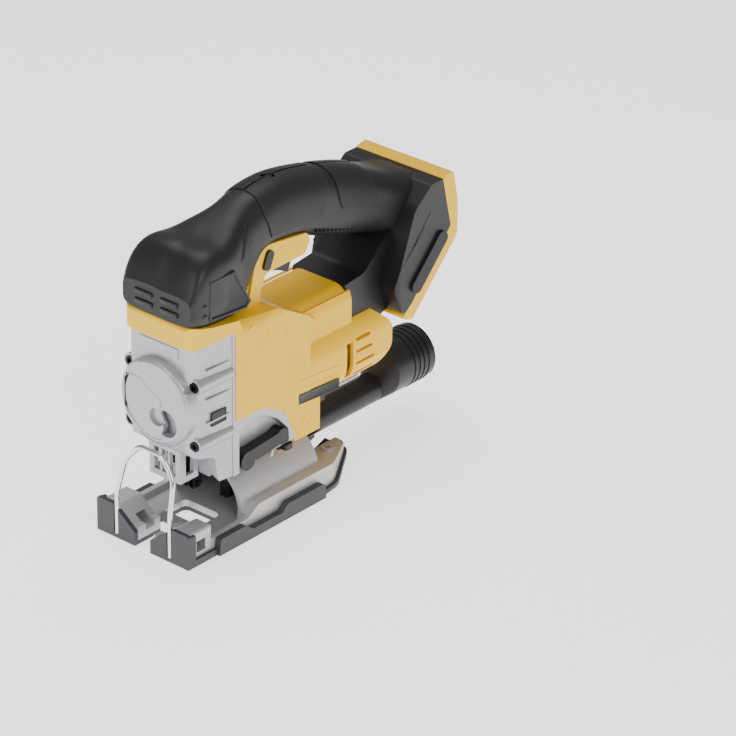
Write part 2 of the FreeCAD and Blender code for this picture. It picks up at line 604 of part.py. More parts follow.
def cap_block(shrink=0.0):
    """Yellow band that wraps the top of the gear head under the hood."""
    side = [(NOSE_X + 2.3, HEAD_TOP), (NOSE_X + 2.3, 156.5, 3.0), (96.0, 152.0), (SPLIT_X - 4, 148.0),
            (SPLIT_X - 8, HEAD_TOP - 4), (SPLIT_X, HEAD_TOP - 4), (SPLIT_X, HEAD_TOP)]
    plan = [(NOSE_X + 2.3, BODY_HALF - 1, 9.0), (40.0, BODY_HALF), (40.0, -BODY_HALF), (NOSE_X + 2.3, -BODY_HALF + 1, 9.0)]
    return prism_y(side, shrink=shrink).common(prism_z(plan, 100, 200, shrink))


def body_outside():
    return join([two_view(side, end) for side, end in body_blocks().values()] + [cap_block()])


def clamshell(outside):
    blocks = body_blocks()
    rooms = [two_view(*blocks[name], shrink=WALL) for name in ("barrel", "ridge", "column")]
    rooms.append(two_view(*blocks["frame"], shrink=2.2))
    rooms.append(cap_block(WALL))
    rooms.append(box(SPLIT_X - 12, NOSE_X - 6, -GEAR_HALF + 6, GEAR_HALF - 6, HEAD_TOP - 6, 144.5))
    rooms.append(box(36.0, NOSE_X - 12, -14.0, 14.0, 138.0, 160.0))
    ribs = [box(x, x + 3.0, -BODY_HALF, BODY_HALF, 55, 110) for x in FIELD_RIBS]
    hollow = cut(join(rooms), [join(ribs)])
    shell = outside.cut(hollow)
    bosses = []
    for x, z in SCREW_PLACES:
        bosses.append(rod_y(4.2, -BODY_HALF, BODY_HALF, x, z))
    shell = add(shell, [b.common(outside) for b in bosses])
    cuts = [rod_x(MOTOR_R, FIELD_RIBS[0] - 1, SPLIT_X + 1, 0, MOTOR_Z),
            rod_x(REAR_BEARING_R, REAR_BEARING_X, REAR_BEARING_X + 6.0, 0, MOTOR_Z),
            rod_x(12.0, REAR_BEARING_X + 6.0, FIELD_RIBS[0], 0, MOTOR_Z),
            saddle_space(), swing_clearance(-60, 60), button_shape(0.3, -BIG, BIG), trigger_space(),
            prism_y(case_outline()), rod_x(11.0, SPLIT_X - 8, SPLIT_X + 1, 0, MOTOR_Z),
            rod_x(7.0, SPLIT_X - 6, SPLIT_X + 1, 0, WHEEL_Z), plunger_space(), box(-6.3, 28.3, -9.8, 9.8, 171.6, 188.3)]
    for x, z in SCREW_PLACES:
        cuts.append(rod_y(SCREW_HOLE_R, -BIG, BODY_HALF - 8, x, z))
        cuts.append(rod_y(SCREW_SINK_R, -BIG, SCREW_SEAT_Y, x, z))
    for side in (-1, 1):
        y0, y1 = (BODY_HALF - 6, BIG) if side > 0 else (-BIG, -BODY_HALF + 6)
        cuts.append(box(-32.5, -26.5, y0, y1, 69.0, 93.5))
        for i in range(4):
            cuts.append(box(-55.0 + 2 * i, -35.5, y0, y1, 67.5 + 8.3 * i, 69.7 + 8.3 * i))
    return cut(shell, cuts)


FIELD_RIBS = (-43.0, -10.0, 30.0)
REAR_BEARING_X = -66.0
REAR_BEARING_R = 6.5
SCREW_PLACES = [(61.6, 137.0), (11.5, 53.3), (0.0, 120.0)]


def motor_mount_wall(outside):
    """Wall behind the fan that carries the rear bearing."""
    return box(REAR_BEARING_X - 1, REAR_BEARING_X + 6.0, -20, 20, 66, 102).common(outside)


# ---------------------------------------------------------------- black grip
GRIP_STATIONS = [
    # x, underside, top, half width, squareness
    (113.6, 156.0, 175.0, 28.0, 5.0), (110.0, 153.0, 183.0, 29.5, 5.0), (104.0, 150.0, 192.0, 30.2, 5.0),
    (96.0, 148.0, 197.5, 30.4, 4.6), (80.0, 146.0, 198.0, 29.5, 4.2), (66.0, 143.0, 201.5, 26.0, 3.4),
    (52.0, 149.0, 206.5, 21.0, 2.8), (36.0, 168.0, 212.5, 18.5, 2.5), (15.0, 172.0, 215.0, 18.5, 2.5),
    (-10.0, 167.5, 212.0, 19.0, 2.5), (-40.0, 156.5, 205.0, 19.5, 2.5), (-65.0, 150.5, 196.5, 21.0, 2.6),
    (-88.0, 136.0, 187.0, 26.0, 3.0), (-108.0, 132.0, 181.0, 30.0, 3.6)]


def grip_loft(shrink):
    rings = []
    for x, low, high, half, square in GRIP_STATIONS:
        x = max(min(x, GRIP_STATIONS[0][0] - shrink), GRIP_STATIONS[-1][0] + shrink)
        rings.append(section(x, low + shrink, high - shrink, half - shrink, square))
    return Part.makeLoft(rings, True, False)


def foot_block(shrink=0.0):
    side = [(-66.0, 118.0, 10.0), (-84.0, 168.0, 14.0), (-100.0, 181.0, 4.0), (-113.0, 181.0), (-119.5, 146.0, 3.0),
            (-83.0, 104.5, 3.0), (-74.0, 98.0, 3.0)]
    plan = [(-60.0, FOOT_HALF, 12.0), (-126.0, FOOT_HALF, 6.0), (-126.0, -FOOT_HALF, 6.0), (-60.0, -FOOT_HALF, 12.0)]
    return prism_y(side, shrink=shrink).common(prism_z(plan, 80, 200, shrink))


def pillar(shrink=0.0):
    side = [(-34.0, 100.0), (-34.0, 129.4), (-52.6, 131.6, 8.0), (-68.0, 146.0, 8.0), (-90.0, 160.0), (-90.0, 104.0),
            (-68.0, 96.0)]
    end = both([(22.0, 80.0), (22.0, 170.0, 8.0)])
    return prism_y(side, shrink=shrink).common(prism_x(end, -BIG, BIG, shrink))


def grip_shell(outside, receiver):
    outer = join([grip_loft(0.0), pillar(), foot_block()])
    inner = join([grip_loft(WALL), pillar(WALL), foot_block(WALL)])
    shell = outer.cut(inner)
    seat = box(40.0, NOSE_X, -BODY_HALF, BODY_HALF, 130.0, 152.0).common(outer)
    bosses = [rod_y(4.2, -BIG, BIG, x, z).common(outer) for x, z in GRIP_SCREWS]
    shell = add(shell, [seat] + bosses)
    cuts = [outside, receiver, box(36.0, NOSE_X - 12, -14.0, 14.0, 138.0, 160.0)]
    for x, z in GRIP_SCREWS:
        cuts.append(rod_y(SCREW_HOLE_R, -BIG, 12.0, x, z))
        cuts.append(rod_y(SCREW_SINK_R, -BIG, GRIP_SEAT_Y, x, z))
    cuts.append(box(-7.0, 40.0, -11.0, 11.0, 166.0, 190.0))
    cuts += [plunger_space(), box(-60.2, -19.8, -12.2, 12.2, 175.8, 178.2), terminal_block()]
    cuts += terminal_blades() + [foot_pad(), mirror(foot_pad())]
    return cut(shell, cuts)


GRIP_SCREWS = [(66.0, 170.0), (-58.0, 172.0), (-92.0, 128.0)]


def receiver_plate():
    """L-shaped plate the battery slides on; rails run down the sloping face."""
    side = [(-111.0, 181.5), (-121.1, 183.8, 2.0), (-129.6, 146.8, 4.0), (-126.6, 138.1, 3.0), (-83.1, 92.4, 2.0),
            (-72.2, 96.0, 2.0), (-83.0, 104.5, 3.0), (-119.5, 146.0, 3.0)]
    plate = prism_y(side, -FOOT_HALF, FOOT_HALF)
    plan = [(-60.0, FOOT_HALF, 10.0), (-131.0, FOOT_HALF, 7.0), (-131.0, -FOOT_HALF, 7.0), (-60.0, -FOOT_HALF, 10.0)]
    plate = plate.common(prism_z(plan, 80, 200))
    return plate


def slope_point(along, depth):
    """Point on the battery face: `along` runs up and back from its lower edge, `depth` goes inwards."""
    ax, az = -126.6 + 83.1, 138.1 - 92.4
    length = math.hypot(ax, az)
    ax, az = ax / length, az / length
    return (-83.1 + ax * along + az * depth, 92.4 + az * along - ax * depth)


def slope_slab(along0, along1, depth0, depth1, half):
    pts = [slope_point(along0, depth0), slope_point(along1, depth0), slope_point(along1, depth1),
           slope_point(along0, depth1)]
    return prism_y(pts, -half, half)


RAIL_DEPTH = 6.0
PACK_HALF = 27.0            # half width of the slot the battery rails run in


def receiver(plate):
    slot = slope_slab(8.0, 80.0, -5.0, RAIL_DEPTH, PACK_HALF - 3.0)
    under = slope_slab(8.0, 80.0, 2.8, RAIL_DEPTH, PACK_HALF)
    seats = [terminal_block(), foot_pad(), mirror(foot_pad())] + terminal_blades()
    return cut(plate, [slot, under] + seats).removeSplitter()


def terminal_block():
    return slope_slab(20.0, 48.0, RAIL_DEPTH + 2.0, RAIL_DEPTH + 9.0, 20.0)


def terminal_blades():
    blades = []
    for y in (-15.0, -7.5, 0.0, 7.5, 15.0):
        pts = [slope_point(25.0, 2.0), slope_point(43.0, 2.0), slope_point(43.0, RAIL_DEPTH + 7.0),
               slope_point(25.0, RAIL_DEPTH + 7.0)]
        blades.append(prism_y(pts, y - 0.4, y + 0.4))
    return blades


def foot_pad():
    pts = [slope_point(14.0, 9.0), slope_point(58.0, 9.0), slope_point(58.0, 19.0), slope_point(14.0, 19.0)]
    rounded = [(x, z, 4.5) for x, z in pts]
    return prism_y(rounded, FOOT_HALF - 1.5, FOOT_HALF + 2.0)


# ---------------------------------------------------------------- controls in the handle
def button_shape(grow, y0, y1):
    cx, cz = 32.2, 169.7
    length, wide = 6.5 + grow, 3.2 + grow
    lean = math.radians(22)
    ux, uz = math.sin(lean), math.cos(lean)
    pts = []
    for a, b in ((-1, -1), (1, -1), (1, 1), (-1, 1)):
        pts.append((cx - ux * length * a + uz * wide * b, cz + uz * length * a + ux * wide * b, wide * 0.9))
    return prism_y(pts, y0, y1)


def trigger_outline():
    return [(31.5, 153.5, 1.5), (27.0, 160.5), (27.0, 164.5), (1.5, 164.5), (1.5, 158.5), (-0.5, 158.0, 1.0),
            (4.0, 148.5, 1.5), (11.0, 152.0, 4.0), (21.0, 155.8, 4.0)]


TRIGGER_HALF = 8.0


def trigger():
    return prism_y(trigger_outline(), -TRIGGER_HALF, TRIGGER_HALF)


def trigger_space():
    """The trigger's pocket, grown by clearance and by its travel."""
    side = [(32.6, 150.0), (31.6, 161.0), (30.2, 163.0), (30.2, 171.2), (0.8, 171.2), (0.8, 166.4), (-1.6, 165.0),
            (-1.6, 150.0)]
    return prism_y(side, -TRIGGER_HALF - 0.4, TRIGGER_HALF + 0.4)


def switch_module():
    body = box(-6.0, 28.0, -9.5, 9.5, 171.6, 188.0)
    return body.cut(button_shape(0.3, -BIG, BIG))


def lock_button():
    return button_shape(0.0, -FRAME_HALF - 1.8, FRAME_HALF + 1.8)


def control_board():
    return box(-60.0, -20.0, -12.0, 12.0, 176.0, 178.0)


# ---------------------------------------------------------------- motor and crank drive
def wheel():
    """Crank wheel: short teeth for running clearance, hub, and a pin that ends before the yoke."""
    pitch = MODULE * WHEEL_TEETH / 2
    outer = rod_x(pitch - 0.3, 81.0, 87.0, 0, WHEEL_Z)
    step = 2 * math.pi / WHEEL_TEETH
    gaps = []
    for i in range(WHEEL_TEETH):
        a = (i + 0.5) * step
        gaps.append(rod_x(0.75, 80.0, 88.0, math.sin(a) * pitch, WHEEL_Z - math.cos(a) * pitch))
    bore = rod_x(SHAFT_R + SLIDE_FIT, 70.0, 100.0, 0, WHEEL_Z)
    hub = rod_x(6.5, 79.6, 87.0, 0, WHEEL_Z)
    pin = rod_x(3.0, 86.0, 89.7, 0, WHEEL_Z + CRANK_R)
    return join([outer.cut(gaps[0].fuse(gaps[1:])), hub, pin]).cut(bore)


def pinion():
    pitch = MODULE * PINION_TEETH / 2
    body = rod_x(pitch - 0.3, SPLIT_X + 3.0, 87.5, 0, MOTOR_Z)
    gaps = []
    for i in range(PINION_TEETH):
        a = 2 * math.pi * i / PINION_TEETH
        gaps.append(rod_x(0.75, SPLIT_X + 3.5, 89.0, math.sin(a) * pitch, MOTOR_Z + math.cos(a) * pitch))
    return body.cut(gaps[0].fuse(gaps[1:]))


def armature_shaft():
    return join([rod_x(3.0, REAR_BEARING_X + 0.5, SPLIT_X + 3.5, 0, MOTOR_Z), pinion()])


def armature_core():
    core = rod_x(MOTOR_BORE - 0.7, -34.0, 28.0, 0, MOTOR_Z)
    slots = []
    for i in range(12):
        a = 2 * math.pi * i / 12
        slots.append(rod_x(1.6, -35, 29, math.sin(a) * (MOTOR_BORE - 2), MOTOR_Z + math.cos(a) * (MOTOR_BORE - 2)))
    return cut(core, slots + [rod_x(3.0, -40, 40, 0, MOTOR_Z)])


def fan():
    disc = rod_x(FAN_R, 52.0, 53.5, 0, MOTOR_Z)
    hub = rod_x(6.0, 46.0, 53.5, 0, MOTOR_Z)
    blades = []
    for i in range(9):
        blade = box(46.5, 52.5, -0.6, 0.6, MOTOR_Z + 7.5, MOTOR_Z + 17.0)
        blade.rotate(V(0, 0, MOTOR_Z), V(1, 0, 0), 40.0 * i)
        blades.append(blade)
    return join([disc, hub] + blades).cut(rod_x(3.0, 40, 60, 0, MOTOR_Z))


def ring_x(outer, inner, x0, x1, z=MOTOR_Z):
    return rod_x(outer, x0, x1, 0, z).cut(rod_x(inner, x0 - 1, x1 + 1, 0, z))


def plunger():
    rod = rod_z(PLUNGER_R, 58.0, HEAD_TOP + STROKE - 3.0, PLUNGER_X)
    pin_z = WHEEL_Z + CRANK_R
    yoke = box(94.6, 98.5, -YOKE_HALF, YOKE_HALF, pin_z - 7.0, pin_z + 7.0)
    slot = box(90.0, 96.5, 1.8 - YOKE_HALF, YOKE_HALF - 1.8, pin_z - 3.4, pin_z + 3.4)
    return join([rod, yoke.cut(slot)])


def blade_clamp():
    body = rod_z(CLAMP_R, 49.0, 62.0, PLUNGER_X)
    seat = rod_z(PLUNGER_R, 58.0, 63.0, PLUNGER_X)
    blade = box(PLUNGER_X - 3.8, PLUNGER_X + 3.8, -0.8, 0.8, 40.0, 57.0)
    return cut(body, [seat, blade])


def clamp_ring():
    return rod_z(CLAMP_R + 0.9, 52.0, 56.5, PLUNGER_X).cut(rod_z(CLAMP_R, 50.0, 60.0, PLUNGER_X))


def counterweight():
    low = WHEEL_Z - CRANK_R - 11.0
    plate = box(WEIGHT_X - WEIGHT_HALF, WEIGHT_X + WEIGHT_HALF, -24.0, 24.0, low, low + WEIGHT_HEIGHT)
    lugs = []
    for y in (-GUIDE_Y, GUIDE_Y):
        lugs.append(rod_z(GUIDE_R + 1.6, low, low + WEIGHT_HEIGHT, WEIGHT_X, y))
    weight = join([plate] + lugs)
    return cut(weight, [rod_z(GUIDE_R + SLIDE_FIT, 0, BIG, WEIGHT_X, y) for y in (-GUIDE_Y, GUIDE_Y)])


# ---------------------------------------------------------------- roller, guard and small parts
ARM_PIVOT = (83.0, 55.0)


def roller_arm():
    px, pz = ARM_PIVOT
    cheeks = []
    for y in (4.3, -6.3):
        link = [(px - 3.5, pz), (px + 3.0, pz + 2.0), (ROLLER_X + 3.2, ROLLER_Z), (ROLLER_X - 3.2, ROLLER_Z)]
        cheeks += [prism_y(link, y, y + 2.0), rod_y(3.6, y, y + 2.0, ROLLER_X, ROLLER_Z),
                   rod_y(4.2, y, y + 2.0, px, pz)]
    bridge = rod_y(4.2, -6.3, 6.3, px, pz)
    axle = rod_y(1.5, -7.2, 7.2, ROLLER_X, ROLLER_Z)
    return join(cheeks + [bridge, axle]).cut(rod_y(PIN_R + 0.3 + SLIDE_FIT, -20, 20, px, pz))


def roller_pin():
    return rod_y(PIN_R + 0.3, -16.0, 16.0, *ARM_PIVOT)


def roller():
    body = rod_y(ROLLER_R, -3.7, 3.7, ROLLER_X, ROLLER_Z)
    groove = rod_y(ROLLER_R + 1, -0.8, 0.8, ROLLER_X, ROLLER_Z).cut(rod_y(ROLLER_R - 1.5, -1, 1, ROLLER_X, ROLLER_Z))
    return cut(body, [groove, rod_y(1.5 + SLIDE_FIT, -5, 5, ROLLER_X, ROLLER_Z)])


def blade_guard():
    """Slotted cast bracket in front of the blade clamp."""
    outer = box(92.0, NOSE_X - 3.5, -13.0, 13.0, 42.0, LOWER_BUSH_Z)
    inner = box(91.0, NOSE_X - 6.5, -10.0, 10.0, 41.0, LOWER_BUSH_Z + 1)
    slots = []
    for y in (-9.0, -2.5, 4.0):
        slots.append(box(NOSE_X - 10, NOSE_X, y, y + 5.0, 46.0, 62.0))
    side = box(96.0, 103.0, -20, 20, 46.0, 60.0)
    return cut(outer, [inner, side] + slots)


def torx_screw(head_r, head, length, recess=1.2):
    """Screw along +X with its head's outer face at the origin."""
    body = join([rod_x(head_r, -head, 0), rod_x(1.65, -length, -head + 0.01)])
    star = [rod_x(0.75, -recess, 1, 1.1 * math.cos(a), 1.1 * math.sin(a)) for a in
            [math.pi / 3 * i for i in range(6)]]
    return cut(body, star + [rod_x(1.25, -recess, 1)])


def head_screws():
    screws = []
    for y, z in ear_places():
        screw = torx_screw(3.4, 3.0, 26.0)
        screw.translate(V(NOSE_X - 1.5, y, z))
        screws.append(screw)
    return screws


def housing_screws():
    screws = []
    for x, z in SCREW_PLACES:
        screw = torx_screw(3.0, SCREW_HEAD, 22.0)
        screw.rotate(V(0, 0, 0), V(0, 0, 1), -90)
        screw.translate(V(x, SCREW_SEAT_Y - SCREW_HEAD, z))
        screws.append(screw)
    for x, z in GRIP_SCREWS:
        screw = torx_screw(3.0, SCREW_HEAD, 18.0)
        screw.rotate(V(0, 0, 0), V(0, 0, 1), -90)
        screw.translate(V(x, GRIP_SEAT_Y - SCREW_HEAD, z))
        screws.append(screw)
    return screws


def hex_key():
    """Key kept under the motor: long arm along the tool, short arm turned up in front."""
    z, y = 55.0, 12.0
    arm = prism_x([(p[0] + y, p[1] + z) for p in hexagon(KEY_AF, 0)], -58.0, -3.2)
    ball = Part.makeSphere(KEY_AF * 0.62, V(-58.0, y, z))
    return join([arm, ball])


def key_clip():
    z, y = 55.0, 12.0
    block = box(-22.0, -4.0, y - 4.5, y + 4.5, 51.5, 59.8)
    hole = prism_x([(p[0] + y, p[1] + z) for p in hexagon(KEY_AF + 0.1, 0)], -30.0, 2.0)
    return block.cut(hole)


def name_plate():
    return box(NOSE_X, NOSE_X + 0.6, -16.0, 16.0, 131.0, 138.0)


def release_lever():
    lever = lever_space(0.0)
    barrel_bore = rod_z(PIN_R + SLIDE_FIT, 0, BIG, NOSE_X + 2.6, PIN_Y)
    grip = rod_x(6.0, NOSE_X + NOSE_STEP - 2.5, NOSE_X + NOSE_STEP + 2, 2.0, NOSE_Z - 9)
    behind_pin = box(NOSE_X - 5, NOSE_X + 20, -BIG, PIN_Y - 2.2, -BIG, BIG)
    return cut(lever, [barrel_bore, grip, behind_pin])


def release_pin():
    return rod_z(PIN_R, NOSE_Z - 13, NOSE_Z + 13, NOSE_X + 2.6, PIN_Y)


# ---------------------------------------------------------------- assembly
def build():
    keep("shoe_plate", shoe_plate())
    keep("sole_cover", sole_cover())
    keep("wire_guard", wire_guard())
    keep("splinter_insert", splinter_insert())
    keep("dust_pipe", dust_pipe())
    keep("gear_case", gear_case())
    keep("gear_cover", gear_cover())
    outside = body_outside()
    plate = receiver_plate()
    shell = clamshell(outside)
    key_seat = key_clip().common(box(-BIG, BIG, -BIG, BIG, 0, BIG))
    halves("housing", shell)
    halves("grip", grip_shell(outside, plate))
    keep("battery_receiver", receiver(plate))
    keep("terminal_block", cut(terminal_block(), terminal_blades()))
    keep("terminal_blades", Part.makeCompound(terminal_blades()))
    keep("foot_pads", Part.makeCompound([foot_pad(), mirror(foot_pad())]))
    keep("trigger", trigger())
    keep("lock_button", lock_button())
    keep("switch_module", switch_module())
    keep("control_board", control_board())
    keep("field_can", ring_x(MOTOR_R, MOTOR_BORE, -40.0, 34.0))
    keep("armature_shaft", armature_shaft())
    keep("armature_core", armature_core())
    keep("commutator", ring_x(8.0, 3.0, -46.0, -35.0))
    keep("cooling_fan", fan())
    keep("rear_bearing", ring_x(REAR_BEARING_R, 3.0 + SLIDE_FIT, REAR_BEARING_X, REAR_BEARING_X + 5.0))
    keep("front_bearing", ring_x(8.0, 3.0 + SLIDE_FIT, SPLIT_X - 8.0, SPLIT_X - 1.0))
    keep("crank_wheel", wheel())
    keep("wheel_shaft", rod_x(SHAFT_R, COVER_X - 8, 88.6, 0, WHEEL_Z))
    keep("plunger_rod", plunger())
    bush = rod_z(PLUNGER_R + BUSH_WALL, 0, BUSH_LENGTH, PLUNGER_X).cut(rod_z(PLUNGER_R + SLIDE_FIT, -1, 20, PLUNGER_X))
    upper, lower = bush.copy(), bush.copy()
    upper.translate(V(0, 0, UPPER_BUSH_Z))
    lower.translate(V(0, 0, LOWER_BUSH_Z))
    keep("plunger_bushes", Part.makeCompound([upper, lower]))
    keep("blade_clamp", blade_clamp())
    keep("clamp_ring", clamp_ring())
    keep("counterweight", counterweight())
    rods = [rod_z(GUIDE_R, LOWER_BUSH_Z + 4, HEAD_TOP - 1, WEIGHT_X, y) for y in (-GUIDE_Y, GUIDE_Y)]
    keep("guide_rods", Part.makeCompound(rods))
    keep("roller_arm", roller_arm())
    keep("roller_pin", roller_pin())
    keep("blade_roller", roller())
    keep("blade_guard", blade_guard())
    keep("orbit_lever", orbit_lever())
    keep("blower_slide", blower_slide())
    keep("bevel_lever", bevel_lever())
    keep("bevel_pin", bevel_pin())
    keep("release_lever", release_lever())
    keep("release_pin", release_pin())
    keep("head_screws", Part.makeCompound(head_screws()))
    keep("housing_screws", Part.makeCompound(housing_screws()))
    keep("hex_key", hex_key())
    keep("key_clip", key_seat)
    keep("name_plate", name_plate())


os.makedirs("parts", exist_ok=True)
build()
for name, shape in parts.items():
    shape.exportStep("parts/" + name + ".step")
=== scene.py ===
import bpy
import json
import math
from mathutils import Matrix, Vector


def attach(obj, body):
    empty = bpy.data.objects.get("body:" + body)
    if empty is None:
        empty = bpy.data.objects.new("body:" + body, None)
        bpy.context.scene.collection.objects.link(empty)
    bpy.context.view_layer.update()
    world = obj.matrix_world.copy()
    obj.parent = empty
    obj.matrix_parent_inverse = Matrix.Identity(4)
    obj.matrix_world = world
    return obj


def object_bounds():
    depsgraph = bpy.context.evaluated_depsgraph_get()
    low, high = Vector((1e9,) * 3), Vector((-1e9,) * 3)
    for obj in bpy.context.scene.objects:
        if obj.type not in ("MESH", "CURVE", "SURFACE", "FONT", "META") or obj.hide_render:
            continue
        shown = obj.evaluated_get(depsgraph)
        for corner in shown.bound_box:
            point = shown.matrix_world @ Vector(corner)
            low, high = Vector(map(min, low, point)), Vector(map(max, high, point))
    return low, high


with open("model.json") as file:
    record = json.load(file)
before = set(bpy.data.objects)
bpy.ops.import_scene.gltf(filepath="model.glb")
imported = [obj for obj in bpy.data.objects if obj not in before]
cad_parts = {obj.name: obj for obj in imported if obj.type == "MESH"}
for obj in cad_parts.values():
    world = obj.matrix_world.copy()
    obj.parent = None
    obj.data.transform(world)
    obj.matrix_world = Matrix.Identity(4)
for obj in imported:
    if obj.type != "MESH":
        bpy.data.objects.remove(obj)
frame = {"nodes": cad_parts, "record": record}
NODES = frame["nodes"]
cad_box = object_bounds()

MM = 0.001
CROWN_TRIM = 0.02           # the handle's crown ends this far under the saw's full height, mm


# ------------------------------------------------------------ finishes
def linear(hex_colour):
    """sRGB hex colour as linear RGBA."""
    out = []
    for i in (1, 3, 5):
        c = int(hex_colour[i:i + 2], 16) / 255
        out.append(c / 12.92 if c <= 0.04045 else ((c + 0.055) / 1.055) ** 2.4)
    return (*out, 1.0)


def add(tree, kind, settings=None, inputs=None, links=None):
    """Adds a node, sets its properties and its sockets, and links other nodes' outputs into it."""
    node = tree.nodes.new(kind)
    for name, value in (settings or {}).items():
        setattr(node, name, value)
    for name, value in (inputs or {}).items():
        node.inputs[name].default_value = value
    for name, output in (links or {}).items():
        tree.links.new(output, node.inputs[name])
    return node


def new_finish(name):
    finish = bpy.data.materials.new(name)
    finish.use_nodes = True
    tree = finish.node_tree
    shader = tree.nodes["Principled BSDF"]
    place = add(tree, "ShaderNodeTexCoord").outputs["Object"]
    return finish, tree, shader, place


DRIFT_MM = 22               # from one patch of pigment to the next
FLAKE_MM = 0.5              # drawn coarser than real flake, which would not show
BOARD_GRAIN = 1.2           # weave under the board's coat


def moulded_nylon(name, colour, deep, grain_mm, roughness, bump):
    """Glass-filled nylon from an etched mould: fine leather-like grain, soft broad highlights."""
    finish, tree, shader, place = new_finish(name)
    shader.inputs["Roughness"].default_value = roughness
    shader.inputs["IOR"].default_value = 1.53
    shader.inputs["Specular IOR Level"].default_value = 0.35
    # the mould's spark-eroded grain
    grain = add(tree, "ShaderNodeTexNoise",
                inputs={"Scale": 1 / (grain_mm * MM), "Detail": 3.0, "Roughness": 0.6},
                links={"Vector": place})
    height = add(tree, "ShaderNodeBump", inputs={"Strength": bump, "Distance": 0.05 * MM},
                 links={"Height": grain.outputs["Fac"]})
    tree.links.new(height.outputs["Normal"], shader.inputs["Normal"])
    # slow drift of the pigment
    drift = add(tree, "ShaderNodeTexNoise", inputs={"Scale": 1 / (DRIFT_MM * MM), "Detail": 1.0},
                links={"Vector": place})
    tone = add(tree, "ShaderNodeMix", {"data_type": "RGBA"}, links={0: drift.outputs["Fac"]})
    tone.inputs[6].default_value = linear(colour)
    tone.inputs[7].default_value = linear(deep)
    tree.links.new(tone.outputs[2], shader.inputs["Base Color"])
    shine = add(tree, "ShaderNodeMapRange", inputs={"To Min": roughness - 0.04, "To Max": roughness + 0.06},
                links={"Value": drift.outputs["Fac"]})
    tree.links.new(shine.outputs["Result"], shader.inputs["Roughness"])
    return finish


def painted_casting(name, colour, deep, roughness, speckle_mm, bump, metallic=0.55):
    """Die-cast alloy under thin silver paint: sparkling flake, slight orange peel."""
    finish, tree, shader, place = new_finish(name)
    shader.inputs["Metallic"].default_value = metallic
    peel = add(tree, "ShaderNodeTexNoise",
               inputs={"Scale": 1 / (speckle_mm * MM), "Detail": 4.0, "Roughness": 0.65},
               links={"Vector": place})
    height = add(tree, "ShaderNodeBump", inputs={"Strength": bump, "Distance": 0.06 * MM},
                 links={"Height": peel.outputs["Fac"]})
    tree.links.new(height.outputs["Normal"], shader.inputs["Normal"])
    flake = add(tree, "ShaderNodeTexVoronoi", inputs={"Scale": 1 / (FLAKE_MM * MM)}, links={"Vector": place})
    tone = add(tree, "ShaderNodeMix", {"data_type": "RGBA"}, links={0: flake.outputs["Distance"]})
    tone.inputs[6].default_value = linear(colour)
    tone.inputs[7].default_value = linear(deep)
    tree.links.new(tone.outputs[2], shader.inputs["Base Color"])
    shine = add(tree, "ShaderNodeMapRange", inputs={"To Min": roughness - 0.05, "To Max": roughness + 0.08},
                links={"Value": peel.outputs["Fac"]})
    tree.links.new(shine.outputs["Result"], shader.inputs["Roughness"])
    return finish


def machined_metal(name, colour, roughness, lines_mm, along):
    """Turned or drawn metal: fine lines across the axis, bright between them."""
    finish, tree, shader, place = new_finish(name)
    shader.inputs["Metallic"].default_value = 1.0
    shader.inputs["Base Color"].default_value = linear(colour)
    squeeze = add(tree, "ShaderNodeMapping", links={"Vector": place})
    squeeze.inputs["Scale"].default_value = along
    lines = add(tree, "ShaderNodeTexNoise", inputs={"Scale": 1 / (lines_mm * MM), "Detail": 2.0},
                links={"Vector": squeeze.outputs["Vector"]})
    shine = add(tree, "ShaderNodeMapRange", inputs={"To Min": roughness - 0.06, "To Max": roughness + 0.1},
                links={"Value": lines.outputs["Fac"]})
    tree.links.new(shine.outputs["Result"], shader.inputs["Roughness"])
    height = add(tree, "ShaderNodeBump", inputs={"Strength": 0.08, "Distance": 0.02 * MM},
                 links={"Height": lines.outputs["Fac"]})
    tree.links.new(height.outputs["Normal"], shader.inputs["Normal"])
    return finish


FINISHES = {
    "yellow_shell": moulded_nylon("moulded_yellow_nylon", "#FCC900", "#F8C000", 0.45, 0.42, 0.2),
    "black_shell": moulded_nylon("moulded_black_nylon", "#1B1A1F", "#151418", 0.35, 0.42, 0.3),
    "black_part": moulded_nylon("smooth_black_nylon", "#1A191D", "#131216", 0.6, 0.36, 0.12),
    "rubber_pad": moulded_nylon("soft_black_rubber", "#1D1C21", "#17161A", 0.3, 0.5, 0.45),
    "grey_cover": moulded_nylon("grey_acetal", "#3E3E42", "#36363A", 0.5, 0.4, 0.2),
    "clear_insert": moulded_nylon("grey_insert_plastic", "#8A8A8E", "#808085", 0.5, 0.4, 0.2),
    "green_board": moulded_nylon("coated_board", "#0F5A2C", "#0B4722", BOARD_GRAIN, 0.3, 0.1),
    "cast_silver": painted_casting("silver_painted_casting", "#C2C2C6", "#A2A2A7", 0.33, 0.7, 0.35),
    "cast_shoe": painted_casting("blasted_aluminium", "#CFCDCC", "#B9B7B6", 0.44, 0.5, 0.5, 0.65),
    "chrome_wire": machined_metal("bright_chrome_wire", "#E4E4E8", 0.12, 0.4, (1, 1, 1)),
    "steel": machined_metal("turned_steel", "#B9BABF", 0.28, 0.15, (1, 1, 6)),
    "black_steel": machined_metal("black_oxide_steel", "#2B2A2E", 0.36, 0.3, (1, 1, 1)),
    "bronze": machined_metal("sintered_bronze", "#A9773E", 0.4, 0.3, (1, 1, 1)),
    "brass": machined_metal("stamped_brass", "#CDA75B", 0.3, 0.3, (1, 1, 1)),
    "steel_stack": machined_metal("laminated_steel", "#77777C", 0.45, 0.5, (8, 1, 1)),
    "copper": machined_metal("turned_copper", "#C1764E", 0.3, 0.2, (8, 1, 1)),
}

for part in frame["record"]["subparts"]:
    node = NODES[part["node"]]
    node.data.materials.clear()
    node.data.materials.append(FINISHES[part["material_slot"]])


